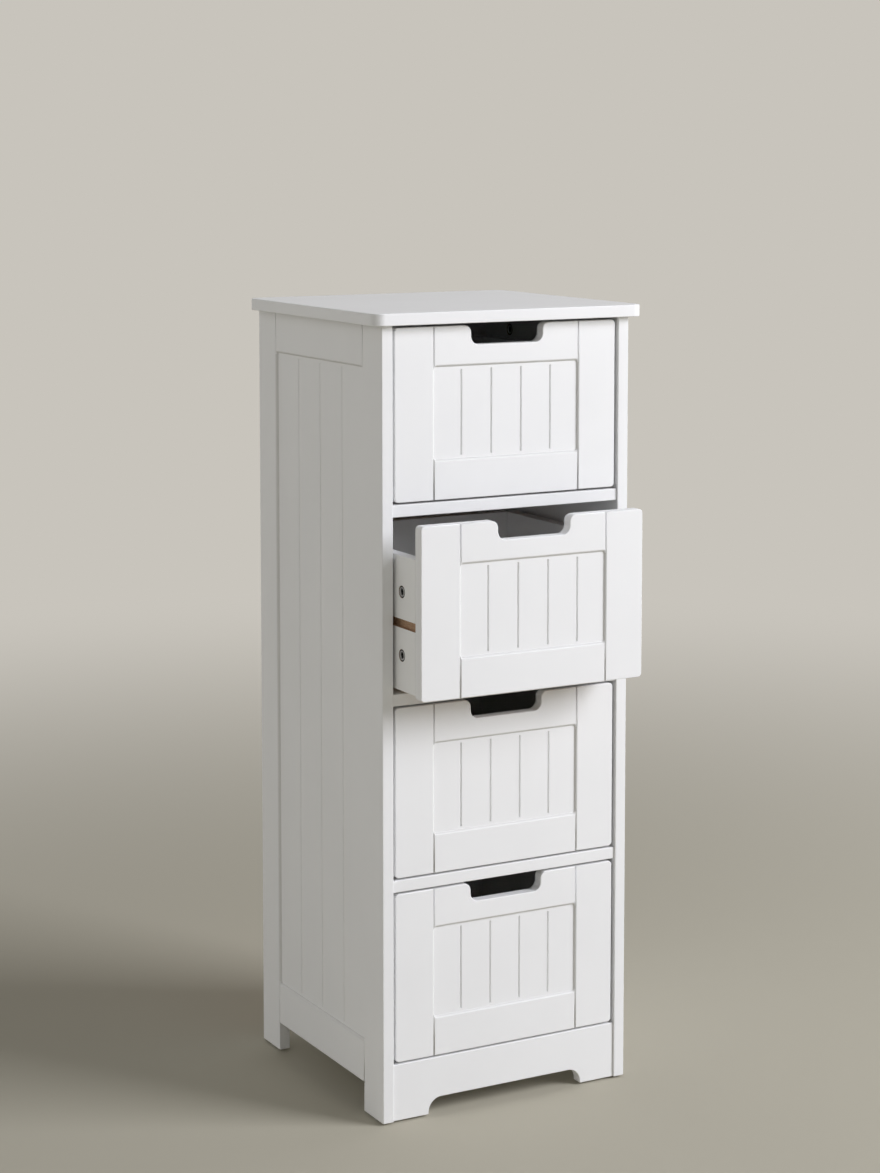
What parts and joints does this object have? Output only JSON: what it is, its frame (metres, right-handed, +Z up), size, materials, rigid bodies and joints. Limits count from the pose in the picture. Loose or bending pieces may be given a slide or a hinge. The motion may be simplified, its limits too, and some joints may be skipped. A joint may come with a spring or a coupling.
{
  "type": "bathroom cabinet",
  "caption": "Slim white floor cabinet with panelled drawers on runner strips, routed finger notches, grooved side panels and cut-out feet, joined by cam fittings.",
  "frame": {"origin": "on the floor, at the middle of the box around the cabinet with its second drawer partly open", "axes": "+Z up, -Y out of the front, where the drawers pull out, and +X to the right of someone facing the front"},
  "size_m": [0.305, 0.329, 0.8],
  "materials": {
    "white_paint": "satin white paint on fibreboard",
    "drawer_board": "white foil on fibreboard, with raw brown edges in its grooves",
    "thin_board": "thin fibreboard with a white face",
    "runner_plastic": "matte off-white plastic strip",
    "glide_plastic": "dark matte plastic",
    "cam_zinc": "dull zinc casting",
    "screw_steel": "zinc-plated steel",
    "dowel_wood": "bare fluted beech"
  },
  "bodies": {
    "cabinet": {"top_board": "white_paint", "left_side_panel": "white_paint", "right_side_panel": "white_paint", "back_panel": "thin_board", "bottom_board": "drawer_board", "front_apron": "white_paint", "upper_rail": "white_paint", "middle_rail": "white_paint", "lower_rail": "white_paint", "left_runner_1": "runner_plastic", "left_runner_2": "runner_plastic", "left_runner_3": "runner_plastic", "left_runner_4": "runner_plastic", "right_runner_1": "runner_plastic", "right_runner_2": "runner_plastic", "right_runner_3": "runner_plastic", "right_runner_4": "runner_plastic", "runner_screws": "screw_steel", "carcass_cam_locks": "cam_zinc", "carcass_cam_bolts": "screw_steel", "carcass_dowels": "dowel_wood", "foot_glides": "glide_plastic"},
    "drawer_1": {"drawer_1_front": "white_paint", "drawer_1_left_side": "drawer_board", "drawer_1_right_side": "drawer_board", "drawer_1_back": "drawer_board", "drawer_1_bottom": "thin_board", "drawer_1_cam_locks": "cam_zinc", "drawer_1_cam_bolts": "screw_steel", "drawer_1_dowels": "dowel_wood", "drawer_1_screws": "screw_steel"},
    "drawer_2": {"drawer_2_front": "white_paint", "drawer_2_left_side": "drawer_board", "drawer_2_right_side": "drawer_board", "drawer_2_back": "drawer_board", "drawer_2_bottom": "thin_board", "drawer_2_cam_locks": "cam_zinc", "drawer_2_cam_bolts": "screw_steel", "drawer_2_dowels": "dowel_wood", "drawer_2_screws": "screw_steel"},
    "drawer_3": {"drawer_3_front": "white_paint", "drawer_3_left_side": "drawer_board", "drawer_3_right_side": "drawer_board", "drawer_3_back": "drawer_board", "drawer_3_bottom": "thin_board", "drawer_3_cam_locks": "cam_zinc", "drawer_3_cam_bolts": "screw_steel", "drawer_3_dowels": "dowel_wood", "drawer_3_screws": "screw_steel"},
    "drawer_4": {"drawer_4_front": "white_paint", "drawer_4_left_side": "drawer_board", "drawer_4_right_side": "drawer_board", "drawer_4_back": "drawer_board", "drawer_4_bottom": "thin_board", "drawer_4_cam_locks": "cam_zinc", "drawer_4_cam_bolts": "screw_steel", "drawer_4_dowels": "dowel_wood", "drawer_4_screws": "screw_steel"}
  },
  "joints": [
    {"name": "drawer_1_slide", "type": "slide", "parent": "cabinet", "child": "drawer_1", "axis": [0, -1, 0], "range_m": [0, 0.17]},
    {"name": "drawer_2_slide", "type": "slide", "parent": "cabinet", "child": "drawer_2", "axis": [0, -1, 0], "range_m": [-0.053, 0.117]},
    {"name": "drawer_3_slide", "type": "slide", "parent": "cabinet", "child": "drawer_3", "axis": [0, -1, 0], "range_m": [0, 0.17]},
    {"name": "drawer_4_slide", "type": "slide", "parent": "cabinet", "child": "drawer_4", "axis": [0, -1, 0], "range_m": [0, 0.17]}
  ]
}
